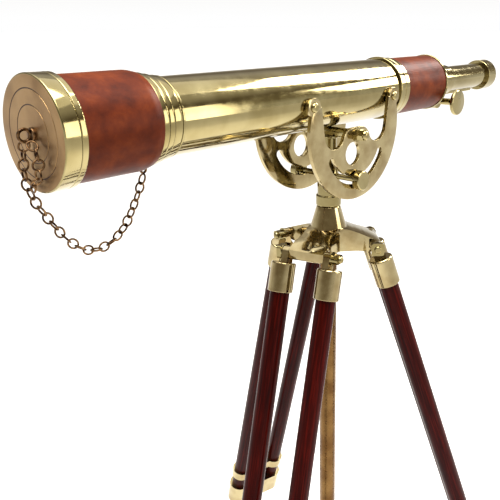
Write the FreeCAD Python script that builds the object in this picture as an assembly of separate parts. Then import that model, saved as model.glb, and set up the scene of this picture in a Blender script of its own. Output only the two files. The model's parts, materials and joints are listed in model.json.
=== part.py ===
import math
import os

import FreeCAD
import Part

# A brass refracting telescope in a cradle on a wooden tripod.
# Millimetres and degrees. +X points where the telescope looks, +Z is up, and the origin is on the floor
# below the tripod's axis. The pieces are drawn with Z measured from the axis of the telescope's tube,
# and save() lifts them all by axis_height.

# Overall
axis_height = 1219.0
running_gap = 0.05
clear_gap = 0.3
seat_overrun = 1.0
cut_overrun = 1.0
dome_share = 0.9

# Main tube
tube_radius = 39.5
tube_wall = 2.5
tube_front = 280.0
tube_back = -230.0
leather_thickness = 1.3

# Rear flange and the rear leather
rear_wrap_length = 101.0
rear_collar_length = 19.0
rear_collar_rise = 1.0
rear_bead_length = 5.0
rear_bead_rise = 3.0
groove_depth = 0.7
groove_width = 1.2
rear_bead_rounding = 1.2
rear_collar_rounding = 0.5

# Rear end plate and tailpiece
end_plate_thickness = 4.0
end_plate_rise = 1.1
end_plate_spigot = 8.0
end_plate_front_rounding = 0.8
end_plate_back_rounding = 1.6
tailpiece_length = 54.0
tailpiece_wall = 3.0
tailpiece_rounding = 4.0
guide_wall = 1.4
guide_length = 84.0

# Step collar in front of the tube
collar_seat = 13.0
collar_lip = 15.0
collar_steps = ((13.0, 1.5), (20.6, 3.5), (28.0, 5.5))
collar_rounding = 0.8
collar_spigot = 10.0

# Objective barrel, cell and lenses
barrel_flare = 7.4
barrel_wall = 2.9
barrel_length = 81.7
shoulder_length = 8.0
shoulder_drop = 1.9
shoulder_rounding = 24.0
cell_ring_length = 6.3
cell_ring_rise = 2.8
cell_rounding = 1.2
cell_inside_length = 17.0
cell_spigot_length = 13.0
cell_spigot_wall = 3.4
cell_seat_depth = 17.0
cell_lens_wall = 2.0
lens_lip = 2.5
flint_edge = 5.0
crown_edge = 7.5
lens_air_gap = 0.4
crown_sag = 2.6
flint_hollow = 1.0
retainer_width = 2.5
retainer_length = 4.0

# Lens cap
cap_depth = 15.0
cap_wall = 2.5
cap_face_thickness = 1.5
cap_rounding = 1.2
cap_slide_gap = 0.1
cap_line_radii = (24.8, 38.5)
cap_line_depth = 0.4
cap_line_width = 0.6
cap_travel_room = 0.3
eye_base_radius = 6.0
eye_base_length = 2.5
eye_base_rounding = 1.0
eye_ring_radius = 5.2
eye_wire_radius = 1.5

# Drawtube and eyepiece
drawtube_radius = 19.5
drawtube_wall = 1.5
drawtube_back = -400.0
drawtube_length = 250.0
eyecup_groove_length = 2.5
eyecup_groove_radius = 21.5
eyecup_length = 27.5
eyecup_radius = 24.5
eyecup_rounding = 3.5
eyecup_front_rounding = 0.8
eyecup_spigot = 8.0
eye_hole_radius = 7.0
eye_funnel_radius = 13.0
eye_funnel_depth = 4.0
eye_funnel_rounding = 1.0
eye_wall_thickness = 3.0
eye_lens_radius = 14.0
eye_lens_edge = 3.0
eye_lens_sag = 2.0
eye_lens_hollow = 0.5

# Rack and pinion focuser
gear_module = 0.8
pinion_teeth = 16
pressure_angle = 20.0
gear_addendum = 0.64
gear_dedendum = 0.8
gear_backlash = 0.1
rack_width = 6.0
rack_base = 2.3
rack_back = -380.0
rack_teeth = 65
pinion_place = -250.0
pinion_width = 7.0
pinion_shaft_radius = 3.0
housing_radius = 11.5
housing_half = 16.0
housing_rounding = 1.5
knob_inner = 46.0
knob_thickness = 5.0
knob_radius = 19.0
knob_collar_radius = 5.0
knob_cone_length = 9.0
knob_cone_radius = 9.5
knob_dome = 1.5
knob_boss_radius = 5.0
knob_collar_rounding = 0.6
knob_inner_rounding = 1.2
knob_outer_rounding = 1.8

# Light baffles
baffle_places = (40.0, 150.0, 240.0)
baffle_apertures = (24.0, 28.0, 31.0)
baffle_thickness = 1.5

# Cradle plates and their fixing to the tube
tube_to_plate = 1.0
plate_thickness = 5.0
plate_radius = 90.5
plate_centre_drop = 38.0
horn_top_drop = 5.0
ear_place = 82.0
ear_radius = 11.0
window_outer = 61.0
window_lean = 15.3
window_bottom_drop = 59.0
window_inner = 31.0
window_outer_rounding = 19.0
window_inner_rounding = 16.0
hump_half = 22.0
hump_top_drop = 37.0
hump_rounding = 18.5
plate_hole_radius = 14.5
plate_hole_place = 8.0
plate_hole_drop = 69.0
slot_radius = 58.0
slot_half_angle = 61.0
slot_half_width = 5.3
lug_half_length = 9.0
lug_half_height = 9.0
lug_screw_radius = 2.5
lug_head_radius = 6.0
lug_head_height = 3.4

# Pivot and altitude clamp
pivot_clear = 6.5
pivot_radius = 4.0
pivot_washer_radius = 9.0
pivot_washer = 1.5
pivot_hex_across = 12.6
pivot_hex_length = 11.0
pivot_dome = 4.5
spacer_radius = 6.2
clamp_bolt_radius = 3.8
clamp_bolt_drop = 58.0
clamp_knob_radius = 12.5
clamp_knob_length = 10.5
clamp_knob_stem = 1.6
clamp_knob_stem_radius = 7.5
clamp_knob_rounding = 1.6

# Pillar
eye_outer_radius = 6.2
eye_half = 14.0
brim_radius = 14.0
brim_top_drop = 51.0
brim_thickness = 3.0
brim_rounding = 1.0
pillar_barrel_radius = 10.5
pillar_barrel_bottom = 85.0
pillar_flare_radius = 15.0
pillar_flare_bottom = 112.0
pillar_neck_drop = 130.0
pillar_neck_radius = 17.0
pillar_bottom_drop = 145.0
pillar_rounding = 2.0
pillar_curve_rounding = 12.0
pillar_spigot_radius = 8.0
pillar_spigot_length = 30.0

# Centre column
column_radius = 12.0
column_length = 560.0
column_stop_radius = 17.0
column_stop_length = 16.0
column_plug_length = 20.0
column_stop_top_rounding = 1.5
column_stop_foot_rounding = 4.0

# Crown: the casting that the three legs hang from
hub_top_radius = 16.0
hub_base_radius = 26.0
hub_cone_height = 34.0
hub_height = 60.5
hub_top_rounding = 1.5
hub_curve_rounding = 14.0
hub_base_rounding = 2.0
arm_azimuths = (14.0, 134.0, 254.0)
arm_end = 68.5
arm_half_width = 24.7
arm_waist_half = 20.0
arm_waist_place = 40.0
arm_root_rise = 24.0
arm_end_rise = 7.0
arm_end_chamfer = 2.0
arm_drop = 8.0
arm_root_widening = 2.0
arm_top_rounding = 20.0
arm_waist_rounding = 30.0
arm_neck_rounding = 10.0
column_screw_azimuth = 194.0
column_screw_radius = 3.0
column_screw_rise = 4.0
column_knob_radius = 9.0
column_knob_length = 8.0
column_knob_standoff = 4.0
column_knob_inner_rounding = 1.0
column_knob_outer_rounding = 2.5

# Leg hinges
hinge_place = 62.0
hinge_drop = 197.0
leg_splay = 18.3
hinge_bolt_radius = 3.5
hinge_washer_radius = 9.0
hinge_washer = 1.5
hinge_head_half = 8.5
hinge_head_length = 6.0
hinge_head_rounding = 3.0
hinge_dome_radius = 5.0
hinge_dome = 2.2
thumb_nut_half_length = 9.5
thumb_nut_radius = 5.6
thumb_nut_length = 9.0
thumb_nut_dome = 4.5

# Legs
rod_radius = 13.0
rod_half_spacing = 33.2
rod_top = 17.0
ferrule_radius = 16.5
ferrule_top = 14.0
ferrule_length = 39.0
ferrule_rounding = 2.5
ferrule_mouth_rounding = 0.8
tongue_thickness = 9.0
tongue_half_width = 8.0
clamp_top = 562.0
clamp_height = 40.0
clamp_half_depth = 17.5
clamp_end_radius = 17.5
clamp_floor = 6.0
lower_rod_radius = 12.5
lower_rod_top = 520.0
guide_height = 16.0
guide_end_radius = 16.5
guide_overhang = 3.0
guide_half_depth = 10.0
leg_screw_radius = 3.0
leg_knob_radius = 10.5
leg_knob_length = 8.0
leg_knob_standoff = 3.0
leg_knob_inner_rounding = 1.0
leg_knob_outer_rounding = 2.0
foot_sphere_radius = 10.0
foot_flat_height = 1.0
foot_ferrule_radius = 15.0
foot_ferrule_length = 45.0
foot_taper_length = 22.0
foot_neck_radius = 8.5
foot_mouth_rounding = 1.0
foot_shoulder_rounding = 4.0

# Chain that keeps the lens cap, drawn as a plain tube along its route
chain_radius = 3.0
arc_reach_share = 0.45
anchor_place = 290.5
anchor_stem_radius = 2.2
anchor_ring_radius = 3.2
anchor_wire_radius = 1.2
chain_route = (
    (291.6, 0.0, -54.6),
    (297.0, 0.6, -66.5),
    (306.0, -0.4, -84.5),
    (319.0, 0.5, -102.5),
    (337.5, -0.5, -115.5),
    (360.0, 0.3, -115.5),
    (379.0, -1.0, -99.0),
    (391.5, -2.0, -78.5),
    (402.8, -5.0, -57.5),
    (405.6, -10.0, -39.0),
    (405.2, -8.5, -21.0),
    (404.6, -3.5, -6.5),
)
chain_loop_route = (
    (404.6, 4.5, -4.5),
    (405.0, 13.0, -9.0),
    (405.3, 17.5, -20.0),
    (405.4, 15.0, -32.0),
    (405.2, 7.0, -42.0),
    (404.8, -3.0, -47.0),
)

# Sizes that follow from the ones above
tube_bore = tube_radius - tube_wall
wrap_seat = tube_radius - leather_thickness
drawtube_bore = drawtube_radius - drawtube_wall
guide_bore = drawtube_radius + running_gap
guide_radius = guide_bore + guide_wall
tailpiece_radius = drawtube_radius + tailpiece_wall
end_plate_back = tube_back - end_plate_thickness
tailpiece_back = end_plate_back - tailpiece_length
collar_front = tube_front + collar_lip
barrel_radius = tube_radius + barrel_flare
barrel_bore = barrel_radius - barrel_wall
cell_back = collar_front + barrel_length
cell_front = cell_back + cell_ring_length
cell_radius = barrel_radius + leather_thickness + cell_ring_rise
cap_radius = cell_radius
cap_bore = cap_radius - cap_wall
cap_face = cell_front + cap_depth
cell_spigot_radius = cap_bore - cap_slide_gap
cell_bore = cell_spigot_radius - cell_spigot_wall
lens_radius = barrel_bore - cell_lens_wall
flint_back = cell_front - cell_seat_depth
gear_pitch_radius = gear_module * pinion_teeth / 2
gear_pitch = math.pi * gear_module
rack_root = -(drawtube_radius + rack_base)
pitch_line = rack_root - gear_dedendum
pinion_height = pitch_line - gear_pitch_radius
rack_tip = pitch_line - gear_addendum
plate_inner = tube_radius + tube_to_plate
plate_outer = plate_inner + plate_thickness
pivot_height = -(tube_radius + pivot_clear)
clamp_bolt_height = pivot_height - clamp_bolt_drop
hub_top = -(pillar_bottom_drop + clear_gap)
hub_bottom = hub_top - hub_height
hinge_height = -hinge_drop
tongue_inner = arm_half_width + clear_gap
tongue_outer = tongue_inner + tongue_thickness
ball_height = foot_sphere_radius - foot_flat_height
foot_reach = (axis_height - hinge_drop - ball_height) / math.cos(math.radians(leg_splay))
upper_rod_bottom = clamp_top + clamp_height - clamp_floor

ORIGIN = FreeCAD.Vector(0, 0, 0)
X_AXIS = FreeCAD.Vector(1, 0, 0)
Y_AXIS = FreeCAD.Vector(0, 1, 0)
Z_AXIS = FreeCAD.Vector(0, 0, 1)
TURN_FROM_X = {"x": (Z_AXIS, 0), "y": (Z_AXIS, 90), "z": (Y_AXIS, -90)}
FULL_TURN = 360.0
TOUCHING = 1e-6
parts = {}


def point(x, y, z):
    return FreeCAD.Vector(x, y, z)


def both_sides(make):
    """One compound of the pieces that make(side) gives for the +Y side and the -Y side."""
    return Part.makeCompound([make(1), make(-1)])


def face_from(corners):
    """A flat face in XY. A corner is (u, v) or (u, v, radius), and a radius is a tangent arc."""
    spots = [point(corner[0], corner[1], 0) for corner in corners]
    turns = []
    for i, corner in enumerate(corners):
        here = spots[i]
        if len(corner) == 2:
            turns.append((here, None, here))
            continue
        back = (spots[i - 1] - here).normalize()
        ahead = (spots[(i + 1) % len(spots)] - here).normalize()
        half = back.getAngle(ahead) / 2
        reach = corner[2] / math.tan(half)
        middle = here + (back + ahead).normalize() * (corner[2] / math.sin(half) - corner[2])
        turns.append((here + back * reach, middle, here + ahead * reach))
    edges = []
    for i, (start, middle, end) in enumerate(turns):
        if middle is not None:
            edges.append(Part.Arc(start, middle, end).toShape())
        following = turns[(i + 1) % len(turns)][0]
        if end.distanceToPoint(following) > TOUCHING:
            edges.append(Part.LineSegment(end, following).toShape())
    return Part.Face(Part.Wire(edges))


def turned(corners, axis="x", at=ORIGIN):
    """A lathe-turned piece. A corner is (place along the axis, radius) with an optional rounding."""
    solid = face_from(corners).revolve(ORIGIN, X_AXIS, FULL_TURN)
    direction, angle = TURN_FROM_X[axis]
    solid.rotate(ORIGIN, direction, angle)
    solid.translate(at)
    return solid


def sleeve(start, end, radius, bore, axis="x", at=ORIGIN):
    """A plain ring between two places on an axis."""
    return turned(((start, bore), (end, bore), (end, radius), (start, radius)), axis, at)


def rod(start, end, radius, axis="x", at=ORIGIN):
    """A plain cylinder between two places on an axis."""
    return turned(((start, 0), (end, 0), (end, radius), (start, radius)), axis, at)


def box(x, y, z):
    """A box from three (low, high) pairs."""
    return Part.makeBox(x[1] - x[0], y[1] - y[0], z[1] - z[0], point(x[0], y[0], z[0]))


def plate_xz(corners, y_low, y_high):
    """A flat plate drawn in XZ and as thick as y_low to y_high."""
    solid = face_from(corners).extrude(point(0, 0, y_high - y_low))
    solid.rotate(ORIGIN, X_AXIS, 90)
    solid.translate(point(0, y_high, 0))
    return solid


def hexagon(across, start, end, axis, at):
    """A hexagonal prism across its flats."""
    corner_radius = across / math.sqrt(3)
    angles = [math.radians(60 * i + 30) for i in range(6)]
    corners = [(corner_radius * math.cos(a), corner_radius * math.sin(a)) for a in angles]
    solid = face_from(corners).extrude(point(0, 0, end - start))
    solid.translate(point(0, 0, start))
    solid.rotate(ORIGIN, Y_AXIS, 90)
    direction, angle = TURN_FROM_X[axis]
    solid.rotate(ORIGIN, direction, angle)
    solid.translate(at)
    return solid


def lens(back, front, radius, back_sag, front_sag):
    """A lens about X. A positive sag bulges outwards, a negative one is hollow."""
    front_middle = lens_arc_point(radius, front_sag)
    back_middle = lens_arc_point(radius, back_sag)
    rim_back = point(back, radius, 0)
    rim_front = point(front, radius, 0)
    top_front = point(front + front_sag, 0, 0)
    top_back = point(back - back_sag, 0, 0)
    on_front = point(front + front_middle[0], front_middle[1], 0)
    on_back = point(back - back_middle[0], back_middle[1], 0)
    edges = [
        Part.LineSegment(rim_back, rim_front).toShape(),
        Part.Arc(rim_front, on_front, top_front).toShape(),
        Part.LineSegment(top_front, top_back).toShape(),
        Part.Arc(top_back, on_back, rim_back).toShape(),
    ]
    return Part.Face(Part.Wire(edges)).revolve(ORIGIN, X_AXIS, FULL_TURN)


def lens_arc_point(radius, sag):
    """A point half way along a lens surface: (distance past the rim, distance from the axis)."""
    curve = (radius * radius + sag * sag) / (2 * sag)
    half = math.asin(radius / abs(curve)) / 2
    return sag - curve + math.copysign(abs(curve) * math.cos(half), curve), abs(curve) * math.sin(half)


def lens_height(radius, sag, at_radius):
    """How far a bulging lens surface stands past its rim at a distance from the axis."""
    curve = (radius * radius + sag * sag) / (2 * sag)
    return math.sqrt(curve * curve - at_radius * at_radius) - curve + sag


def save(name, shape):
    """Lifts a piece from the tube's axis to its height over the floor and keeps it under its node's name."""
    lifted = shape.copy()
    lifted.translate(point(0, 0, axis_height))
    parts[name] = lifted


def rack_path():
    """The room that the rack and the pinion need where the rack runs through the telescope's rear end."""
    half = max(rack_width, pinion_width) / 2 + clear_gap
    return box((tailpiece_back - seat_overrun, tube_front), (-half, half), (rack_tip - clear_gap, 0))


def make_tubes():
    """The main tube, its leather, the rear flange, the end plate and the tailpiece."""
    wrap_front = tube_back + rear_wrap_length
    flange_front = wrap_front + rear_collar_length + rear_bead_length
    tube = turned((
        (tube_back, tube_bore),
        (tube_front, tube_bore),
        (tube_front, tube_radius),
        (flange_front, tube_radius),
        (flange_front, wrap_seat),
        (tube_back, wrap_seat),
    ))
    for at in ear_points():
        tube = tube.cut(Part.makeCylinder(lug_screw_radius, 2 * tube_radius, at, Y_AXIS * -at.y))
    save("main_tube", tube)
    save("rear_leather_wrap", sleeve(tube_back, wrap_front, tube_radius, wrap_seat))
    collar = tube_radius + rear_collar_rise
    bead_back = wrap_front + rear_collar_length
    groove = (wrap_front + bead_back) / 2
    save("rear_flange", turned((
        (wrap_front, wrap_seat),
        (flange_front, wrap_seat),
        (flange_front, tube_radius + rear_bead_rise, rear_bead_rounding),
        (bead_back, tube_radius + rear_bead_rise, rear_bead_rounding),
        (bead_back, collar),
        (groove + groove_width, collar),
        (groove + groove_width / 2, collar - groove_depth),
        (groove - groove_width / 2, collar - groove_depth),
        (groove - groove_width, collar),
        (wrap_front, collar, rear_collar_rounding),
    )))
    plate = turned((
        (end_plate_back, guide_radius),
        (tube_back + end_plate_spigot, guide_radius),
        (tube_back + end_plate_spigot, tube_bore),
        (tube_back, tube_bore),
        (tube_back, tube_radius + end_plate_rise, end_plate_front_rounding),
        (end_plate_back, tube_radius + end_plate_rise, end_plate_back_rounding),
    ))
    save("end_plate", plate.cut(rack_path()))
    tail = turned((
        (tailpiece_back, guide_bore),
        (end_plate_back + guide_length, guide_bore),
        (end_plate_back + guide_length, guide_radius),
        (end_plate_back, guide_radius),
        (end_plate_back, tailpiece_radius),
        (tailpiece_back, tailpiece_radius, tailpiece_rounding / 2),
    ))
    save("tailpiece", tail.cut(rack_path()))


def make_front():
    """The step collar, the objective barrel with its leather, and the cell with its spigot and two lenses."""
    steps = [(tube_front - collar_seat, tube_radius)]
    for reach, rise in collar_steps:
        step_front = tube_front - collar_seat + reach
        step_back = steps[-1][0]
        steps.append((step_back, tube_radius + rise, collar_rounding))
        steps.append((step_front, tube_radius + rise))
    steps[-1] = (collar_front, steps[-1][1])
    save("step_collar", turned((
        *steps,
        (collar_front, barrel_bore),
        (collar_front + collar_spigot, barrel_bore),
        (collar_front + collar_spigot, tube_bore),
        (tube_front, tube_bore),
        (tube_front, tube_radius),
    )))
    seat = barrel_radius - shoulder_drop
    shoulder = collar_front + shoulder_length
    barrel = (
        (collar_front, barrel_bore),
        (cell_back, barrel_bore),
        (cell_back, barrel_radius),
        (shoulder, barrel_radius),
        (collar_front, seat),
    )
    save("objective_barrel", turned(barrel))
    save("front_leather_wrap", turned((
        (collar_front, seat),
        (shoulder, barrel_radius),
        (cell_back, barrel_radius),
        (cell_back, barrel_radius + leather_thickness),
        (shoulder, barrel_radius + leather_thickness, shoulder_rounding),
        (collar_front, seat + leather_thickness),
    )))
    cell_ring = turned((
        (cell_back - cell_inside_length, lens_radius - lens_lip),
        (flint_back, lens_radius - lens_lip),
        (flint_back, lens_radius),
        (cell_front, lens_radius),
        (cell_front, cell_radius, cell_rounding),
        (cell_back, cell_radius, cell_rounding),
        (cell_back, barrel_bore),
        (cell_back - cell_inside_length, barrel_bore),
    ))
    cell_spigot = sleeve(cell_front, cell_front + cell_spigot_length, cell_spigot_radius, cell_bore)
    save("objective_cell", Part.makeCompound([cell_ring, cell_spigot]))
    flint_front = flint_back + flint_edge
    crown_back = flint_front + lens_air_gap
    crown_front = crown_back + crown_edge
    save("flint_lens", lens(flint_back, flint_front, lens_radius, -flint_hollow, -crown_sag))
    save("crown_lens", lens(crown_back, crown_front, lens_radius, crown_sag, crown_sag))
    retainer_bore = lens_radius - retainer_width
    retainer_back = crown_front + lens_height(lens_radius, crown_sag, retainer_bore)
    retainer_front = retainer_back + retainer_length
    save("lens_retaining_ring", sleeve(retainer_back, retainer_front, lens_radius, retainer_bore))
    rings = [
        sleeve(place, place + baffle_thickness, tube_bore, aperture)
        for place, aperture in zip(baffle_places, baffle_apertures)
    ]
    save("baffles", Part.makeCompound(rings))


def make_cap():
    """The push-on lens cap with two engraved circles and an eye for its chain."""
    skirt = cell_front + cap_travel_room
    cap = turned((
        (cap_face - cap_face_thickness, 0),
        (cap_face, 0),
        (cap_face, cap_radius, cap_rounding),
        (skirt, cap_radius),
        (skirt, cap_bore),
        (cap_face - cap_face_thickness, cap_bore),
    ))
    for radius in cap_line_radii:
        outer = radius + cap_line_width / 2
        inner = radius - cap_line_width / 2
        cap = cap.cut(sleeve(cap_face - cap_line_depth, cap_face + cut_overrun, outer, inner))
    save("lens_cap", cap)
    base = turned((
        (cap_face, 0),
        (cap_face + eye_base_length, 0),
        (cap_face + eye_base_length, eye_base_radius, eye_base_rounding),
        (cap_face, eye_base_radius),
    ))
    ring_centre = point(cap_face + eye_base_length + eye_ring_radius, 0, 0)
    ring = Part.makeTorus(eye_ring_radius, eye_wire_radius, ring_centre, Y_AXIS)
    save("cap_chain_eye", base.fuse(ring))


def gear_half_angle(radius):
    """Half of a pinion tooth's angle at a radius, with involute flanks down to the base circle."""
    base = gear_pitch_radius * math.cos(math.radians(pressure_angle))
    at_pitch = math.radians(pressure_angle)
    at_radius = math.acos(min(1.0, base / radius))
    half_at_pitch = (gear_pitch / 2 - gear_backlash) / (2 * gear_pitch_radius)
    return half_at_pitch + math.tan(at_pitch) - at_pitch - math.tan(at_radius) + at_radius


def pinion_gear():
    """A spur pinion about Y with one tooth pointing straight up."""
    tip = gear_pitch_radius + gear_addendum
    root = gear_pitch_radius - gear_dedendum
    flank = [root, (root + gear_pitch_radius) / 2 + gear_addendum / 4, gear_pitch_radius, tip]
    corners = []
    for tooth in range(pinion_teeth):
        middle = math.pi / 2 - 2 * math.pi * tooth / pinion_teeth
        for radius in flank:
            angle = middle + gear_half_angle(radius)
            corners.append((radius * math.cos(angle), radius * math.sin(angle)))
        for radius in reversed(flank):
            angle = middle - gear_half_angle(radius)
            corners.append((radius * math.cos(angle), radius * math.sin(angle)))
    return plate_xz(corners, -pinion_width / 2, pinion_width / 2)


def make_rack():
    """A straight rack with a gap over the pinion's upright tooth, seated on the drawtube."""
    slope = math.tan(math.radians(pressure_angle))
    half_at_pitch = (gear_pitch / 2 - gear_backlash) / 2
    half_root = half_at_pitch + gear_dedendum * slope
    half_tip = half_at_pitch - gear_addendum * slope
    first = math.ceil((rack_back - pinion_place) / gear_pitch) + 0.5
    corners = []
    for tooth in range(rack_teeth):
        middle = pinion_place + (first + tooth) * gear_pitch
        corners.append((middle - half_root, rack_root))
        corners.append((middle - half_tip, rack_tip))
        corners.append((middle + half_tip, rack_tip))
        corners.append((middle + half_root, rack_root))
    front = corners[-1][0] + gear_pitch / 2
    back = corners[0][0] - gear_pitch / 2
    top = -drawtube_bore
    corners += [(front, rack_root), (front, top), (back, top), (back, rack_root)]
    bar = plate_xz(corners, -rack_width / 2, rack_width / 2)
    save("rack", bar.cut(rod(back - cut_overrun, front + cut_overrun, drawtube_radius)))


def make_focuser():
    """The pinion's housing under the tailpiece, the pinion on its shaft and the two knobs."""
    at = point(pinion_place, 0, pinion_height)
    housing = turned((
        (-housing_half, 0),
        (housing_half, 0),
        (housing_half, housing_radius, housing_rounding),
        (-housing_half, housing_radius, housing_rounding),
    ), "y", at)
    room = pinion_width / 2 + clear_gap
    housing = housing.cut(rod(tailpiece_back, end_plate_back, tailpiece_radius))
    housing = housing.cut(rod(-room, room, gear_pitch_radius + gear_addendum + clear_gap, "y", at))
    bore_half = housing_half + cut_overrun
    housing = housing.cut(rod(-bore_half, bore_half, pinion_shaft_radius + running_gap, "y", at))
    save("pinion_housing", housing.cut(rack_path()))
    knob_outer = knob_inner + knob_thickness
    shaft = rod(-knob_outer, knob_outer, pinion_shaft_radius, "y", at)
    gear = pinion_gear()
    gear.translate(at)
    save("pinion_shaft", shaft.fuse(gear))

    def knob(side):
        start = housing_half + clear_gap
        return turned((
            (side * start, pinion_shaft_radius),
            (side * start, knob_collar_radius, knob_collar_rounding),
            (side * (knob_inner - knob_cone_length), knob_collar_radius),
            (side * knob_inner, knob_cone_radius),
            (side * knob_inner, knob_radius, knob_inner_rounding),
            (side * knob_outer, knob_radius, knob_outer_rounding),
            (side * (knob_outer + knob_dome), knob_boss_radius),
            (side * (knob_outer + knob_dome), 0),
            (side * knob_outer, 0),
            (side * knob_outer, pinion_shaft_radius),
        ), "y", at)

    save("focus_knobs", both_sides(knob))


def make_drawtube():
    """The drawtube with its rack, the eyecup and the two eyepiece lenses."""
    save("drawtube", sleeve(drawtube_back, drawtube_back + drawtube_length, drawtube_radius, drawtube_bore))
    make_rack()
    groove_back = drawtube_back - eyecup_groove_length
    cup_back = groove_back - eyecup_length
    seat = cup_back + eye_funnel_depth + eye_wall_thickness
    save("eyecup", turned((
        (drawtube_back + eyecup_spigot, eye_lens_radius),
        (drawtube_back + eyecup_spigot, drawtube_bore),
        (drawtube_back, drawtube_bore),
        (drawtube_back, eyecup_groove_radius),
        (groove_back, eyecup_groove_radius),
        (groove_back, eyecup_radius, eyecup_front_rounding),
        (cup_back, eyecup_radius, eyecup_rounding),
        (cup_back, eye_funnel_radius, eye_funnel_rounding),
        (cup_back + eye_funnel_depth, eye_hole_radius),
        (seat, eye_hole_radius),
        (seat, eye_lens_radius),
    )))
    eye = lens(seat, seat + eye_lens_edge, eye_lens_radius, -eye_lens_hollow, eye_lens_sag)
    field_front = drawtube_back + eyecup_spigot
    field = lens(field_front - eye_lens_edge, field_front, eye_lens_radius, eye_lens_sag, -eye_lens_hollow)
    save("eyepiece_lenses", Part.makeCompound([eye, field]))


def ear_points():
    """Where the four lug screws cross the tube: one at each horn of each plate."""
    return [point(x, side, -horn_top_drop) for x in (-ear_place, ear_place) for side in (-1, 1)]


def cradle_plate(side):
    """A horned plate beside the tube, with a window, a round hole and a slot about the pivot."""
    low, high = sorted((side * plate_inner, side * plate_outer))
    horn_top = -horn_top_drop
    disc = rod(low, high, plate_radius, "y", point(0, 0, -plate_centre_drop))
    below = box((-plate_radius, plate_radius), (low, high), (-2 * plate_radius, horn_top))
    plate = disc.common(below)
    lean = window_outer + window_lean
    height = tube_radius
    window = plate_xz((
        (-lean, height),
        (-window_outer, -window_bottom_drop, window_outer_rounding),
        (-window_inner, -window_bottom_drop, window_inner_rounding),
        (-hump_half, -hump_top_drop, hump_rounding),
        (hump_half, -hump_top_drop, hump_rounding),
        (window_inner, -window_bottom_drop, window_inner_rounding),
        (window_outer, -window_bottom_drop, window_outer_rounding),
        (lean, height),
    ), low - cut_overrun, high + cut_overrun)
    plate = plate.cut(window)
    for x in (-ear_place, ear_place):
        plate = plate.fuse(rod(low, high, ear_radius, "y", point(x, 0, horn_top)))
    inside = low - cut_overrun
    outside = high + cut_overrun
    hole_at = point(plate_hole_place, 0, -plate_hole_drop)
    plate = plate.cut(rod(inside, outside, plate_hole_radius, "y", hole_at))
    plate = plate.cut(rod(inside, outside, pivot_radius, "y", point(0, 0, pivot_height)))
    plate = plate.cut(arc_slot(inside, outside))
    for x in (-ear_place, ear_place):
        plate = plate.cut(rod(inside, outside, lug_screw_radius, "y", point(x, 0, horn_top)))
    return plate.removeSplitter()


def arc_slot(low, high):
    """The slot that the clamp bolt runs in, an arc about the pivot with round ends."""
    ring = sleeve(low, high, slot_radius + slot_half_width, slot_radius - slot_half_width, "y")
    reach = 2 * slot_radius
    edge = math.radians(slot_half_angle)
    wedge = plate_xz((
        (0, 0),
        (reach * math.sin(edge), -reach * math.cos(edge)),
        (reach * math.sin(edge), -reach),
        (-reach * math.sin(edge), -reach),
        (-reach * math.sin(edge), -reach * math.cos(edge)),
    ), low, high)
    slot = ring.common(wedge)
    for way in (-1, 1):
        end = point(way * slot_radius * math.sin(edge), 0, -slot_radius * math.cos(edge))
        slot = slot.fuse(rod(low, high, slot_half_width, "y", end))
    slot.translate(point(0, 0, pivot_height))
    return slot


def make_cradle():
    """The two plates, the lugs and screws that hold them to the tube, and the pivot."""
    save("cradle_plate_near", cradle_plate(1))
    save("cradle_plate_far", cradle_plate(-1))
    lugs = []
    screws = []
    for at in ear_points():
        low, high = sorted((at.y * (tube_bore - seat_overrun), at.y * plate_inner))
        lug = box(
            (at.x - lug_half_length, at.x + lug_half_length), (low, high),
            (at.z - lug_half_height, at.z + lug_half_height),
        )
        lug = lug.cut(rod(at.x - ear_radius, at.x + ear_radius, tube_radius))
        hole_at = point(at.x, 0, at.z)
        lugs.append(lug.cut(rod(low, high, lug_screw_radius, "y", hole_at)))
        screws.append(turned((
            (at.y * (tube_bore - seat_overrun), 0),
            (at.y * (tube_bore - seat_overrun), lug_screw_radius),
            (at.y * plate_outer, lug_screw_radius),
            (at.y * plate_outer, lug_head_radius),
            (at.y * (plate_outer + lug_head_height), lug_head_radius, lug_head_height * dome_share),
            (at.y * (plate_outer + lug_head_height), 0),
        ), "y", hole_at))
    save("tube_lugs", Part.makeCompound(lugs))
    save("lug_screws", Part.makeCompound(screws))
    at = point(0, 0, pivot_height)
    washer_outer = plate_outer + pivot_washer
    hex_outer = washer_outer + pivot_hex_length
    shank = rod(-hex_outer, hex_outer, pivot_radius, "y", at)

    def cap_nut(side):
        washer = rod(side * plate_outer, side * washer_outer, pivot_washer_radius, "y", at)
        low, high = sorted((side * washer_outer, side * hex_outer))
        nut = hexagon(pivot_hex_across, low, high, "y", at)
        dome = turned((
            (side * hex_outer, 0),
            (side * hex_outer, pivot_hex_across / 2),
            (side * (hex_outer + pivot_dome), pivot_hex_across / 2, pivot_dome * dome_share),
            (side * (hex_outer + pivot_dome), 0),
        ), "y", at)
        return washer.fuse(nut).fuse(dome).cut(shank)

    save("pivot_bolt", Part.makeCompound([shank, cap_nut(1), cap_nut(-1)]))

    def spacer(side):
        start = side * (eye_half + clear_gap)
        return sleeve(start, side * plate_inner, spacer_radius, pivot_radius, "y", at)

    save("pivot_spacers", both_sides(spacer))


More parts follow.
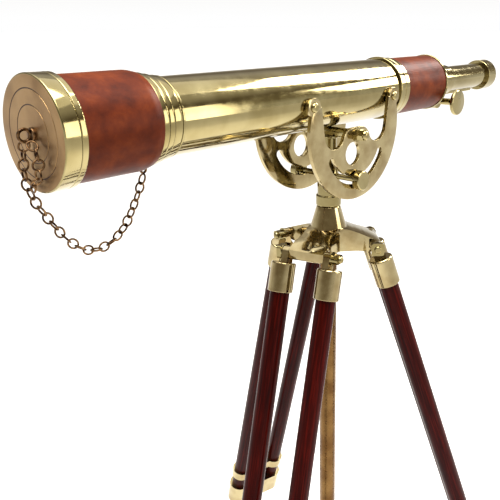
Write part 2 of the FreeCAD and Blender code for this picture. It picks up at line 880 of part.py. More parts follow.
def make_altitude_clamp():
    """The bolt through the pillar and both slots, with a round knob at each end."""
    at = point(0, 0, clamp_bolt_height)
    stem_start = plate_outer + clear_gap
    knob_start = stem_start + clamp_knob_stem
    knob_end = knob_start + clamp_knob_length
    socket = knob_start + clamp_knob_length / 2
    save("clamp_bolt", rod(-socket, socket, clamp_bolt_radius, "y", at))

    def knob(side):
        return turned((
            (side * stem_start, clamp_bolt_radius),
            (side * stem_start, clamp_knob_stem_radius),
            (side * knob_start, clamp_knob_stem_radius),
            (side * knob_start, clamp_knob_radius, clamp_knob_rounding),
            (side * knob_end, clamp_knob_radius, clamp_knob_rounding),
            (side * knob_end, 0),
            (side * socket, 0),
            (side * socket, clamp_bolt_radius),
        ), "y", at)

    save("clamp_knobs", both_sides(knob))


def make_pillar():
    """The turned pillar with the eye for the pivot at its top and a spigot that turns in the column."""
    body = turned((
        (-brim_top_drop - brim_thickness - seat_overrun, 0),
        (-brim_top_drop, 0),
        (-brim_top_drop, brim_radius, brim_rounding),
        (-brim_top_drop - brim_thickness, brim_radius, brim_rounding),
        (-brim_top_drop - brim_thickness, pillar_barrel_radius),
        (-pillar_barrel_bottom, pillar_barrel_radius, pillar_curve_rounding),
        (-pillar_flare_bottom, pillar_flare_radius, pillar_curve_rounding),
        (-pillar_neck_drop, pillar_flare_radius),
        (-pillar_neck_drop, pillar_neck_radius, pillar_rounding),
        (-pillar_bottom_drop, pillar_neck_radius, pillar_rounding),
        (-pillar_bottom_drop, pillar_spigot_radius),
        (-pillar_bottom_drop - pillar_spigot_length, pillar_spigot_radius),
        (-pillar_bottom_drop - pillar_spigot_length, 0),
    ), "z")
    at = point(0, 0, pivot_height)
    eye = rod(-eye_half, eye_half, eye_outer_radius, "y", at)
    neck_half = math.sqrt(brim_radius ** 2 - eye_outer_radius ** 2) - seat_overrun
    neck = box((-eye_outer_radius, eye_outer_radius), (-neck_half, neck_half), (-brim_top_drop, pivot_height))
    pillar = body.fuse(neck).fuse(eye)
    eye_bore_half = eye_half + cut_overrun
    pillar = pillar.cut(rod(-eye_bore_half, eye_bore_half, pivot_radius + running_gap, "y", at))
    bolt_at = point(0, 0, clamp_bolt_height)
    reach = pillar_neck_radius
    pillar = pillar.cut(rod(-reach, reach, clamp_bolt_radius + running_gap, "y", bolt_at))
    save("pillar", pillar.removeSplitter())


def make_column():
    """The brass column that slides in the crown's hub, and the stop at its foot."""
    top = -pillar_bottom_drop
    bottom = top - column_length
    bore = pillar_spigot_radius + running_gap
    save("column", sleeve(bottom, top, column_radius, bore, "z"))
    save("column_stop", turned((
        (bottom + column_plug_length, 0),
        (bottom + column_plug_length, bore),
        (bottom, bore),
        (bottom, column_stop_radius, column_stop_top_rounding),
        (bottom - column_stop_length, column_stop_radius, column_stop_foot_rounding),
        (bottom - column_stop_length, 0),
    ), "z"))


def crown_arm(azimuth):
    """One arm of the crown, as deep as its side view and as wide as its plan."""
    root_top = hinge_height + arm_root_rise
    end_top = hinge_height + arm_end_rise
    bottom = hinge_height - arm_drop
    inside = column_radius + seat_overrun
    side = plate_xz((
        (inside, root_top),
        (hub_base_radius, root_top - arm_end_chamfer, arm_top_rounding),
        (arm_end - arm_end_chamfer, end_top),
        (arm_end, end_top - arm_end_chamfer),
        (arm_end, bottom + arm_end_chamfer),
        (arm_end - arm_end_chamfer, bottom),
        (inside, bottom),
    ), -arm_half_width, arm_half_width)
    neck = (hinge_place + arm_waist_place) / 2
    plan = face_from((
        (inside, -arm_waist_half - arm_root_widening),
        (arm_waist_place, -arm_waist_half, arm_waist_rounding),
        (neck, -arm_half_width, arm_neck_rounding),
        (arm_end, -arm_half_width),
        (arm_end, arm_half_width),
        (neck, arm_half_width, arm_neck_rounding),
        (arm_waist_place, arm_waist_half, arm_waist_rounding),
        (inside, arm_waist_half + arm_root_widening),
    )).extrude(point(0, 0, hub_height * 2))
    plan.translate(point(0, 0, bottom - hub_height / 2))
    arm = side.common(plan)
    reach = 2 * arm_half_width
    arm = arm.cut(rod(-reach, reach, hinge_bolt_radius, "y", point(hinge_place, 0, hinge_height)))
    arm.rotate(ORIGIN, Z_AXIS, azimuth)
    return arm


def make_crown():
    """The hub with its three arms, and the thumbscrew that holds the column."""
    hub = turned((
        (hub_bottom, 0),
        (hub_top, 0),
        (hub_top, hub_top_radius, hub_top_rounding),
        (hub_top - hub_cone_height, hub_base_radius, hub_curve_rounding),
        (hub_bottom, hub_base_radius, hub_base_rounding),
    ), "z")
    crown = hub
    for azimuth in arm_azimuths:
        crown = crown.fuse(crown_arm(azimuth))
    bore = rod(hub_bottom - cut_overrun, hub_top + cut_overrun, column_radius + running_gap, "z")
    crown = crown.cut(bore)
    height = hinge_height + column_screw_rise
    screw_hole = rod(0, 2 * hub_base_radius, column_screw_radius + running_gap, "x", point(0, 0, height))
    screw_hole.rotate(ORIGIN, Z_AXIS, column_screw_azimuth)
    save("crown", crown.cut(screw_hole).removeSplitter())
    knob_start = hub_base_radius + column_knob_standoff
    knob_end = knob_start + column_knob_length
    screw = turned((
        (column_radius + clear_gap, 0),
        (column_radius + clear_gap, column_screw_radius),
        (knob_start, column_screw_radius),
        (knob_start, column_knob_radius, column_knob_inner_rounding),
        (knob_end, column_knob_radius, column_knob_outer_rounding),
        (knob_end, 0),
    ), "x", point(0, 0, height))
    screw.rotate(ORIGIN, Z_AXIS, column_screw_azimuth)
    save("column_clamp_screw", screw)


def hinge_bolt(azimuth):
    """A hinge bolt along the arm's tangent: shank and square head, with an oval thumb nut."""
    at = point(hinge_place, 0, hinge_height)
    face = tongue_outer + clear_gap
    washer_face = face + hinge_washer
    nut_face = washer_face + thumb_nut_length
    head_face = -washer_face - hinge_head_length
    shank = rod(-washer_face, nut_face, hinge_bolt_radius, "y", at)
    square = plate_xz((
        (-hinge_head_half, -hinge_head_half, hinge_head_rounding),
        (hinge_head_half, -hinge_head_half, hinge_head_rounding),
        (hinge_head_half, hinge_head_half, hinge_head_rounding),
        (-hinge_head_half, hinge_head_half, hinge_head_rounding),
    ), head_face, -washer_face)
    square.translate(at)
    dome = turned((
        (head_face - hinge_dome, 0),
        (head_face - hinge_dome, hinge_dome_radius, hinge_dome * dome_share),
        (head_face, hinge_dome_radius),
        (head_face, 0),
    ), "y", at)
    head_washer = rod(-washer_face, -face, hinge_washer_radius, "y", at)
    bolt = shank.fuse(square).fuse(dome).fuse(head_washer)
    waist = thumb_nut_half_length - thumb_nut_radius
    nut = box((-waist, waist), (washer_face, nut_face), (-thumb_nut_radius, thumb_nut_radius))
    nut = nut.fuse(rod(washer_face, nut_face, thumb_nut_radius, "y", point(-waist, 0, 0)))
    nut = nut.fuse(rod(washer_face, nut_face, thumb_nut_radius, "y", point(waist, 0, 0)))
    nut.translate(at)
    cap = turned((
        (nut_face, 0),
        (nut_face, hinge_dome_radius),
        (nut_face + thumb_nut_dome, hinge_dome_radius, thumb_nut_dome * dome_share),
        (nut_face + thumb_nut_dome, 0),
    ), "y", at)
    nut_washer = rod(face, washer_face, hinge_washer_radius, "y", at)
    nut = nut.fuse(cap).fuse(nut_washer).cut(shank)
    pair = Part.makeCompound([bolt, nut.removeSplitter()])
    pair.rotate(ORIGIN, Z_AXIS, azimuth)
    return pair


def leg_placement(azimuth):
    """From a leg drawn straight down from its hinge to its place: splayed, moved out and turned."""
    splayed = FreeCAD.Placement(point(hinge_place, 0, hinge_height), FreeCAD.Rotation(Y_AXIS, -leg_splay))
    turned_round = FreeCAD.Placement(ORIGIN, FreeCAD.Rotation(Z_AXIS, azimuth))
    return turned_round.multiply(splayed)


def stadium(half_length, radius, half_depth, low, high):
    """A bar across the leg with round ends, in plan, between two heights."""
    bar = box((-half_depth, half_depth), (-half_length, half_length), (low, high))
    for side in (-1, 1):
        bar = bar.fuse(rod(low, high, radius, "z", point(0, side * half_length, 0)))
    return bar


def top_ferrule(side):
    """A cup over a rod's top with the flat tongue that goes on the hinge bolt."""
    at = point(0, side * rod_half_spacing, 0)
    cup = turned((
        (-ferrule_top, 0),
        (-ferrule_top, ferrule_radius, ferrule_rounding),
        (-ferrule_top - ferrule_length, ferrule_radius, ferrule_mouth_rounding),
        (-ferrule_top - ferrule_length, rod_radius),
        (-rod_top, rod_radius),
        (-rod_top, 0),
    ), "z", at)
    low, high = sorted((side * tongue_inner, side * tongue_outer))
    tongue = box((-tongue_half_width, tongue_half_width), (low, high), (-ferrule_top - seat_overrun, 0))
    tongue = tongue.fuse(rod(low, high, tongue_half_width, "y"))
    piece = cup.fuse(tongue)
    hole = rod(low - cut_overrun, high + cut_overrun, hinge_bolt_radius + running_gap, "y")
    return piece.cut(hole).removeSplitter()


def upper_rod(side):
    return rod(-upper_rod_bottom, -rod_top, rod_radius, "z", point(0, side * rod_half_spacing, 0))


def make_leg(number, azimuth):
    """One leg: two upper rods with their ferrules and clamp, and the lower rod that slides between them."""
    place = leg_placement(azimuth)

    def save_leg(name, shape):
        shape.transformShape(place.toMatrix())
        save(f"{name}_{number}", shape)

    save_leg("upper_rods", both_sides(upper_rod))
    save_leg("top_ferrules", both_sides(top_ferrule))
    clamp_bottom = clamp_top + clamp_height
    clamp = stadium(rod_half_spacing, clamp_end_radius, clamp_half_depth, -clamp_bottom, -clamp_top)
    for side in (-1, 1):
        clamp = clamp.cut(upper_rod(side))
    bore_bottom = -clamp_bottom - cut_overrun
    clamp = clamp.cut(rod(bore_bottom, -clamp_top + cut_overrun, lower_rod_radius + running_gap, "z"))
    screw_at = point(0, 0, -(clamp_top + clamp_height / 2))
    clamp = clamp.cut(rod(0, 2 * clamp_half_depth, leg_screw_radius + running_gap, "x", screw_at))
    save_leg("leg_clamp", clamp.removeSplitter())
    knob_start = clamp_half_depth + leg_knob_standoff
    knob_end = knob_start + leg_knob_length
    screw = turned((
        (lower_rod_radius + clear_gap, 0),
        (lower_rod_radius + clear_gap, leg_screw_radius),
        (knob_start, leg_screw_radius),
        (knob_start, leg_knob_radius, leg_knob_inner_rounding),
        (knob_end, leg_knob_radius, leg_knob_outer_rounding),
        (knob_end, 0),
    ), "x", screw_at)
    save_leg("clamp_screw", screw)
    guide_bottom = lower_rod_top + guide_height
    guide = stadium(rod_half_spacing, guide_end_radius, guide_half_depth, -guide_bottom, -lower_rod_top)
    guide = guide.fuse(rod(-guide_bottom, -lower_rod_top, lower_rod_radius + guide_overhang, "z"))
    below = -guide_bottom - cut_overrun
    above = -lower_rod_top + cut_overrun
    for side in (-1, 1):
        at = point(0, side * rod_half_spacing, 0)
        guide = guide.cut(rod(below, above, rod_radius + running_gap, "z", at))
    guide = guide.cut(rod(below, above, lower_rod_radius, "z"))
    save_leg("slide_guide", guide.removeSplitter())
    rod_bottom = foot_reach - foot_taper_length - seat_overrun
    save_leg("lower_rod", rod(-rod_bottom, -lower_rod_top, lower_rod_radius, "z"))
    save_leg("foot", foot(rod_bottom))
    flat = box((-axis_height, axis_height), (-axis_height, axis_height), (-axis_height, 0))
    parts[f"foot_{number}"] = parts[f"foot_{number}"].cut(flat)


def foot(rod_bottom):
    """The brass foot over the lower rod's end: a ferrule, a tapered neck and a ball."""
    cup_top = foot_reach - foot_ferrule_length - foot_taper_length
    cup = turned((
        (-cup_top, lower_rod_radius),
        (-cup_top, foot_ferrule_radius, foot_mouth_rounding),
        (-(foot_reach - foot_taper_length), foot_ferrule_radius, foot_shoulder_rounding),
        (-foot_reach, foot_neck_radius),
        (-foot_reach, 0),
        (-rod_bottom, 0),
        (-rod_bottom, lower_rod_radius),
    ), "z")
    ball = Part.makeSphere(foot_sphere_radius, point(0, 0, -foot_reach))
    return cup.fuse(ball)


def cord_path(route):
    """Straight runs joined by tangent arcs, each as large as its two runs allow."""
    spots = [point(*at) for at in route]
    edges = []
    radii = []
    start = spots[0]
    for i in range(1, len(spots) - 1):
        back = spots[i - 1] - spots[i]
        ahead = spots[i + 1] - spots[i]
        reach = arc_reach_share * min(back.Length, ahead.Length)
        half = back.getAngle(ahead) / 2
        radius = reach * math.tan(half)
        back.normalize()
        ahead.normalize()
        middle = spots[i] + (back + ahead).normalize() * (radius / math.sin(half) - radius)
        arc_start = spots[i] + back * reach
        arc_end = spots[i] + ahead * reach
        edges.append(Part.LineSegment(start, arc_start).toShape())
        edges.append(Part.Arc(arc_start, middle, arc_end).toShape())
        radii.append(radius)
        start = arc_end
    edges.append(Part.LineSegment(start, spots[-1]).toShape())
    return Part.Wire(edges), radii


def cord_tube(name, route):
    """A round tube along a route, with its length, bends and volume printed."""
    path, radii = cord_path(route)
    start = path.Edges[0]
    first = start.FirstParameter
    ring = Part.Circle(start.valueAt(first), start.tangentAt(first), chain_radius)
    tube = path.makePipeShell([Part.Wire(ring.toShape())], True, True)
    expected = math.pi * chain_radius ** 2 * path.Length
    print(f"{name}: length {path.Length:.1f}, volume {tube.Volume:.1f} of {expected:.1f}")
    print(f"{name}: bend radii", " ".join(f"{radius:.1f}" for radius in radii))
    save(name, tube)


def make_chain():
    """The chain from the eye under the step collar to the eye on the cap, and its second short strand."""
    ring_radius = tube_radius + collar_steps[-1][1]
    ring_height = -(ring_radius + anchor_ring_radius)
    stem = rod(ring_height, -tube_radius, anchor_stem_radius, "z", point(anchor_place, 0, 0))
    at = point(anchor_place, 0, ring_height)
    collar = rod(anchor_place - ring_radius, anchor_place + ring_radius, ring_radius)
    opening = rod(-anchor_stem_radius, anchor_stem_radius, anchor_ring_radius - anchor_wire_radius, "y", at)
    ring = Part.makeTorus(anchor_ring_radius, anchor_wire_radius, at, Y_AXIS)
    save("chain_anchor", ring.cut(collar).fuse(stem.cut(collar).cut(opening)))
    cord_tube("chain", chain_route)
    cord_tube("chain_loop", chain_loop_route)


def main():
    make_tubes()
    make_front()
    make_cap()
    make_drawtube()
    make_focuser()
    make_cradle()
    make_altitude_clamp()
    make_pillar()
    make_column()
    make_crown()
    save("hinge_bolts", Part.makeCompound([hinge_bolt(azimuth) for azimuth in arm_azimuths]))
    for number, azimuth in enumerate(arm_azimuths, 1):
        make_leg(number, azimuth)
    make_chain()
    os.makedirs("parts", exist_ok=True)
    for name, shape in parts.items():
        print(f"{name}: {len(shape.Solids)} solid(s), volume {shape.Volume:.0f}, valid {shape.isValid()}")
        shape.exportStep(f"parts/{name}.step")


main()
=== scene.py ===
# %% [markdown]
# # A brass telescope on a wooden tripod
# The model comes in as a fixed frame of named parts, in metres, with its origin on the floor. This lesson
# dresses that frame: it gives each part the finish of the real one, and replaces the parts that need a
# finer surface, such as the leather, the turned brass, the wooden rods and the chain.

# %% Load the frame
import json
import math
import bmesh
import bpy
import numpy as np
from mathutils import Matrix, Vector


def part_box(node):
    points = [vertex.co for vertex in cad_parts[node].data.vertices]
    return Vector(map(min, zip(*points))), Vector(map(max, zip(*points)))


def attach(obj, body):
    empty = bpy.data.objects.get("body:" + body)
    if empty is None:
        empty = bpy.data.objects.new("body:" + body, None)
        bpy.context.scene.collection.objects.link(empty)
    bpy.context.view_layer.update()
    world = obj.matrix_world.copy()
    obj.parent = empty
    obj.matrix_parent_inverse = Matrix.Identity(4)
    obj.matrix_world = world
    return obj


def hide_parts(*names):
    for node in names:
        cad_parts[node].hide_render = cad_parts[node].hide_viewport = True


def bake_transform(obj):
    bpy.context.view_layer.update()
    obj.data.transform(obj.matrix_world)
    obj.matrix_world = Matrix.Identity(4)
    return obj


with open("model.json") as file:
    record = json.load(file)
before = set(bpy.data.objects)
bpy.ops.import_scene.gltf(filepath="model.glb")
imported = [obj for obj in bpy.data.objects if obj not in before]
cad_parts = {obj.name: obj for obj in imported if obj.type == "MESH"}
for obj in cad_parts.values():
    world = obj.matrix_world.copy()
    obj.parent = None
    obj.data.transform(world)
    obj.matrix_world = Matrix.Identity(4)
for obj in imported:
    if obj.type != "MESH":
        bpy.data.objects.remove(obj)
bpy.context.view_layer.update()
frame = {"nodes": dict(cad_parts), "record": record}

nodes = frame["nodes"]
MM = 0.001

# %% [markdown]
# ## Places read from the frame
# The tube's axis is the line that most of the telescope is turned about, so its height is read first. Every
# other place below is a corner of a part's box, so nothing is fitted by eye.

# %% Places
tube_low, tube_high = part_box("main_tube")
AXIS = (tube_low.z + tube_high.z) / 2
TUBE_RADIUS = (tube_high.z - tube_low.z) / 2
TUBE_FRONT = tube_high.x
print("tube axis at", round(AXIS, 4), "radius", round(TUBE_RADIUS, 4))

# %% [markdown]
# ## The camera
# The camera stands in front of the objective and to its left, a little above the tube, and looks down at the
# crown. It is set by its bearing, its distance and its height over the tube's axis, and it is shifted so that
# the tripod's axis stands right of the middle.

# %% Camera
CAMERA_BEARING = 38.85
CAMERA_DISTANCE = 0.8726
CAMERA_OVER_AXIS = 0.0936
CAMERA_HEADING = 129.6
CAMERA_DOWN = 18.41
CAMERA_LENS = 48.37
CAMERA_SHIFT = (-0.140, -0.018)

camera = bpy.data.objects.new("camera", bpy.data.cameras.new("camera"))
bearing = math.radians(CAMERA_BEARING)
camera.location = (
    CAMERA_DISTANCE * math.cos(bearing),
    CAMERA_DISTANCE * math.sin(bearing),
    AXIS + CAMERA_OVER_AXIS,
)
camera.rotation_euler = (math.radians(90 - CAMERA_DOWN), 0, math.radians(CAMERA_HEADING))
camera.data.lens = CAMERA_LENS
camera.data.shift_x, camera.data.shift_y = CAMERA_SHIFT
camera.data.clip_start = 0.01
camera.data.clip_end = 100
bpy.context.scene.collection.objects.link(camera)
bpy.context.scene.camera = camera

# %% [markdown]
# ## Small helpers
# Colours are written as the hex values a paint chart gives, and turned to linear light here. One function adds
# a shader node with its settings and links. A surface is a grid of points from numpy, and a turned piece is
# such a grid made by carrying a profile round an axis.

# %% Helpers for colours and nodes


def linear(hex_colour):
    """sRGB to linear: each channel c becomes c/12.92 when dark, else ((c + 0.055) / 1.055) to the power 2.4."""
    values = np.array([int(hex_colour[i:i + 2], 16) for i in (1, 3, 5)]) / 255
    light = np.where(values <= 0.04045, values / 12.92, ((values + 0.055) / 1.055) ** 2.4)
    return (*light.tolist(), 1.0)


def add(tree, kind, sockets=None, stops=None, **settings):
    """Adds a node. settings are its properties, sockets its inputs' values or links, stops a ramp's colours."""
    made = tree.nodes.new(kind)
    for name, value in settings.items():
        setattr(made, name, value)
    for place, (position, colour) in enumerate(stops or ()):
        ramp = made.color_ramp.elements
        stop = ramp[place] if place < 2 else ramp.new(position)
        stop.position = position
        stop.color = colour
    for name, value in (sockets or {}).items():
        if isinstance(value, bpy.types.NodeSocket):
            tree.links.new(value, made.inputs[name])
        else:
            made.inputs[name].default_value = value
    return made


def material(name):
    """A new material with only its output and a Principled shader: (material, tree, shader)."""
    made = bpy.data.materials.new(name)
    made.use_nodes = True
    tree = made.node_tree
    shader = next(n for n in tree.nodes if n.type == "BSDF_PRINCIPLED")
    return made, tree, shader


# %% Helpers for surfaces


def quad_mesh(name, points, quads):
    """A smooth-shaded object at the origin from an array of points and an array of four-cornered faces."""
    mesh = bpy.data.meshes.new(name)
    mesh.from_pydata(points.reshape(-1, 3), [], quads)
    mesh.polygons.foreach_set("use_smooth", np.ones(len(quads), bool))
    made = bpy.data.objects.new(name, mesh)
    bpy.context.scene.collection.objects.link(made)
    return made


def surface(name, grid, around=True, along=False):
    """A mesh through a (rows, columns, 3) grid of points, closed round its columns and, if along, its rows."""
    rows, columns = grid.shape[:2]
    down = np.arange(rows if along else rows - 1)[:, None]
    across = np.arange(columns if around else columns - 1)[None, :]
    next_down = (down + 1) % rows
    next_across = (across + 1) % columns
    quads = np.stack([
        down * columns + across,
        down * columns + next_across,
        next_down * columns + next_across,
        next_down * columns + across,
    ], axis=-1).reshape(-1, 4)
    return quad_mesh(name, grid, quads)


def outward(piece):
    """Merges doubled points and turns every closed shell's faces outwards."""
    shells = bmesh.new()
    shells.from_mesh(piece.data)
    bmesh.ops.remove_doubles(shells, verts=shells.verts, dist=0.001 * MM)
    bmesh.ops.recalc_face_normals(shells, faces=shells.faces)
    shells.to_mesh(piece.data)
    shells.free()


def rounded(corners, steps=5):
    """A profile with its corners eased: a corner (along, radius, ease) becomes an arc tangent to both runs."""
    points = np.array([corner[:2] for corner in corners], float)
    out = []
    for i, corner in enumerate(corners):
        ease = corner[2] if len(corner) > 2 else 0
        if ease == 0:
            out.append(points[i][None])
            continue
        back = points[i - 1] - points[i]
        ahead = points[(i + 1) % len(points)] - points[i]
        back /= np.linalg.norm(back)
        ahead /= np.linalg.norm(ahead)
        half = math.acos(np.clip(back @ ahead, -1, 1)) / 2
        middle = back + ahead
        middle /= np.linalg.norm(middle)
        centre = points[i] + middle * ease / math.sin(half)
        start = points[i] + back * ease / math.tan(half) - centre
        end = points[i] + ahead * ease / math.tan(half) - centre
        turn = math.atan2(start[0] * end[1] - start[1] * end[0], start @ end)
        angles = turn * np.linspace(0, 1, steps)[:, None]
        out.append(centre + start * np.cos(angles) + np.array([-start[1], start[0]]) * np.sin(angles))
    return np.concatenate(out)


print("helpers ready")

# %% [markdown]
# ## The cap's chain
# A light chain keeps the lens cap. It hangs from a small eye under the telescope's front collar, swings down in
# a limp curve and comes up to the ring on the cap, where a second short strand is caught. Each strand follows
# a smooth NURBS curve, and the links are set along points that are read from that curve.

# %% The chain's two routes
LONG_ROUTE = (
    (291.6, 0.0, -54.6),
    (297.0, 0.6, -66.5),
    (306.0, -0.4, -84.5),
    (319.0, 0.5, -102.5),
    (337.5, -0.5, -115.5),
    (360.0, 0.3, -115.5),
    (379.0, -1.0, -99.0),
    (391.5, -2.0, -78.5),
    (402.8, -5.0, -57.5),
    (405.6, -10.0, -39.0),
    (405.2, -8.5, -21.0),
    (404.6, -3.5, -6.5),
)
SHORT_ROUTE = (
    (404.6, 4.5, -4.5),
    (405.0, 13.0, -9.0),
    (405.3, 17.5, -20.0),
    (405.4, 15.0, -32.0),
    (405.2, 7.0, -42.0),
    (404.8, -3.0, -47.0),
)


def path_along(route):
    """Points of the NURBS curve of order 3 whose control points are the route, lifted to the tube's axis."""
    controls = np.array(route) * MM + (0, 0, AXIS)
    curve = bpy.data.curves.new("route", "CURVE")
    curve.dimensions = "3D"
    curve.resolution_u = 32
    spline = curve.splines.new("NURBS")
    spline.points.add(len(controls) - 1)
    spline.points.foreach_set("co", np.column_stack([controls, np.ones(len(controls))]).ravel())
    spline.order_u = 3
    spline.use_endpoint_u = True
    holder = bpy.data.objects.new("route", curve)
    bpy.context.scene.collection.objects.link(holder)
    mesh = bpy.data.meshes.new_from_object(holder)
    path = np.empty(len(mesh.vertices) * 3)
    mesh.vertices.foreach_get("co", path)
    bpy.data.objects.remove(holder)
    bpy.data.curves.remove(curve)
    bpy.data.meshes.remove(mesh)
    return path.reshape(-1, 3)


def length_of(path):
    """The length of a line of points: the sum of the distances from each to the next."""
    return float(np.linalg.norm(np.diff(path, axis=0), axis=1).sum())


long_path = path_along(LONG_ROUTE)
short_path = path_along(SHORT_ROUTE)
print("chain lengths", round(length_of(long_path), 4), round(length_of(short_path), 4))

# %% [markdown]
# ## Chain links
# A link is a ring of wire, a little longer than wide. Each is turned about a quarter against its neighbour,
# because that is how links hang in each other, and none is turned exactly so. The first rings at the cap are
# rounder and larger. All the links of a strand are worked out at once as one array.

# %% Chain links
WIRE = 0.95 * MM
LINK_HALF_LENGTH = 5.3 * MM
LINK_HALF_WIDTH = 4.1 * MM
LINK_PITCH = 8.7 * MM
RING_HALF = 4.75 * MM
LINK_SWING = 14
LINK_STEPS = 28
WIRE_STEPS = 10
LINK_FACES = LINK_STEPS * WIRE_STEPS


def links(name, path, rings, quarter, seed):
    """
    Rings of wire along a path. A point on a link is its centre, plus the tangent times the half length times
    the cosine of u, plus the width direction times the half width times the sine of u, and round that line
    the wire's radius goes with v. The first rings, counted from the path's end, are rounder.
    """
    draw = np.random.default_rng(seed)
    steps = np.linalg.norm(np.diff(path, axis=0), axis=1)
    reach = np.concatenate([[0], np.cumsum(steps)])
    count = int((reach[-1] - LINK_PITCH / 2) // LINK_PITCH) + 1
    spare = reach[-1] - count * LINK_PITCH
    places = (np.arange(count) + 0.5) * LINK_PITCH + spare / 2
    centres = np.stack([np.interp(places, reach, path[:, k]) for k in range(3)], axis=1)
    slope = np.gradient(path, reach, axis=0)
    tangents = np.stack([np.interp(places, reach, slope[:, k]) for k in range(3)], axis=1)
    tangents /= np.linalg.norm(tangents, axis=1, keepdims=True)
    sideways = np.cross(tangents, (0.12, 1.0, 0.08))
    sideways /= np.linalg.norm(sideways, axis=1, keepdims=True)
    other = np.cross(tangents, sideways)
    twist = np.radians(90 * ((np.arange(count) + quarter) % 2) + draw.uniform(-LINK_SWING, LINK_SWING, count))
    width = sideways * np.cos(twist)[:, None] + other * np.sin(twist)[:, None]
    depth = np.cross(tangents, width)
    round_one = np.arange(count) >= count - rings
    half_length = np.where(round_one, RING_HALF, LINK_HALF_LENGTH)[:, None, None]
    half_width = np.where(round_one, RING_HALF, LINK_HALF_WIDTH)[:, None, None]
    u = np.linspace(0, 2 * math.pi, LINK_STEPS, endpoint=False)[None, :, None]
    v = np.linspace(0, 2 * math.pi, WIRE_STEPS, endpoint=False)[None, None, :]
    along = (half_length + WIRE * np.cos(v)) * np.cos(u)
    across = (half_width + WIRE * np.cos(v)) * np.sin(u)
    lift = WIRE * np.sin(v) + 0 * u
    grid = (
        centres[:, None, None]
        + along[..., None] * tangents[:, None, None]
        + across[..., None] * width[:, None, None]
        + lift[..., None] * depth[:, None, None]
    )
    ring, wire = np.meshgrid(np.arange(LINK_STEPS), np.arange(WIRE_STEPS), indexing="ij")
    ring_after, wire_after = (ring + 1) % LINK_STEPS, (wire + 1) % WIRE_STEPS
    corner = ring * WIRE_STEPS + wire
    next_wire = ring * WIRE_STEPS + wire_after
    next_ring = ring_after * WIRE_STEPS + wire
    both = ring_after * WIRE_STEPS + wire_after
    one = np.stack([corner, next_ring, both, next_wire], axis=-1).reshape(-1, 4)
    quads = (one[None] + LINK_FACES * np.arange(count)[:, None, None]).reshape(-1, 4)
    made = quad_mesh(name, grid, quads)
    outward(made)
    return made


cap_chain = links("cap_chain", long_path, 2, 1, 11)
cap_chain_loop = links("cap_chain_loop", short_path, 4, 0, 5)
for strand, node, path in ((cap_chain, "chain", long_path), (cap_chain_loop, "chain_loop", short_path)):
    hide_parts(node)
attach(cap_chain_loop, "lens_cap")
print("links", *(len(strand.data.polygons) // LINK_FACES for strand in (cap_chain, cap_chain_loop)))

# %% [markdown]
# ## Floor and light
# A plain pale floor and soft light from above and from the sides, as in a white tent of cloth. Polished
# brass only shows what it reflects, so the sky has a bright top, a pale rim and a darker ring between them,
# and that ring draws the dark bands along the tubes.

# %% Floor and lights
FLOOR_HALF = 60
reach = np.array([-FLOOR_HALF, FLOOR_HALF], float)
across, deep = np.meshgrid(reach, reach)
floor = surface("floor", np.stack([across, deep, 0 * across], axis=-1), around=False)
floor_material, tree, shader = material("white painted floor")
shader.inputs["Base Color"].default_value = linear("#F4F3F1")
shader.inputs["Roughness"].default_value = 0.9
floor.data.materials.append(floor_material)

world = bpy.data.worlds.new("studio")
bpy.context.scene.world = world
world.use_nodes = True
tree = world.node_tree
background = next(n for n in tree.nodes if n.type == "BACKGROUND")
direction = add(tree, "ShaderNodeTexCoord")
split = add(tree, "ShaderNodeSeparateXYZ", {0: direction.outputs["Generated"]})
sky = add(tree, "ShaderNodeValToRGB", {0: split.outputs["Z"]}, stops=[
    (0.0, linear("#FFFFFF")),
    (0.08, linear("#F5F3EF")),
    (0.2, linear("#A89E8C")),
    (0.42, linear("#8E8474")),
    (0.62, linear("#F2EEE8")),
    (1.0, linear("#FFFFFF")),
])
tree.links.new(sky.outputs["Color"], background.inputs["Color"])
background.inputs["Strength"].default_value = 1.0


def soft_light(name, place, aim, size, power, colour):
    """A square soft box at a place, turned to face a point."""
    data = bpy.data.lights.new(name, "AREA")
    data.size = size
    data.energy = power
    data.color = linear(colour)[:3]
    made = bpy.data.objects.new(name, data)
    made.location = place
    away = np.array(place) - np.array(aim)
    made.rotation_euler = (
        math.acos(away[2] / np.linalg.norm(away)),
        0,
        math.atan2(away[1], away[0]) + math.pi / 2,
    )
    bpy.context.scene.collection.objects.link(made)


AIM = (0, 0, AXIS - 0.1)
soft_light("overhead box", (0.3, 0.2, AXIS + 1.4), AIM, 1.3, 60, "#FFFFFF")
soft_light("back box", (-1.6, 0.35, AXIS + 1.25), AIM, 0.8, 55, "#FFFDF8")
soft_light("window box", (-1.7, 1.0, AXIS + 0.55), AIM, 0.5, 14, "#FFFDF8")
soft_light("right box", (-0.9, 1.9, AXIS + 0.3), AIM, 1.0, 16, "#FFFDF8")
sun = bpy.data.objects.new("ceiling", bpy.data.lights.new("ceiling", "SUN"))
sun.data.energy = 1.9
sun.data.angle = math.radians(90)
bpy.context.scene.collection.objects.link(sun)
bpy.context.scene.view_settings.view_transform = "Standard"

# %% [markdown]
# ## Brass
# Lacquered brass is a metal with a warm yellow reflection. Turned and buffed parts are nearly mirrors, castings
# are a little rosier and softer, and the chain has gone brown where no hand rubs it. One function makes them
# all: two tones in slow patches, a roughness that varies as with wiped lacquer, and a fine surface grain.

# %% Brass


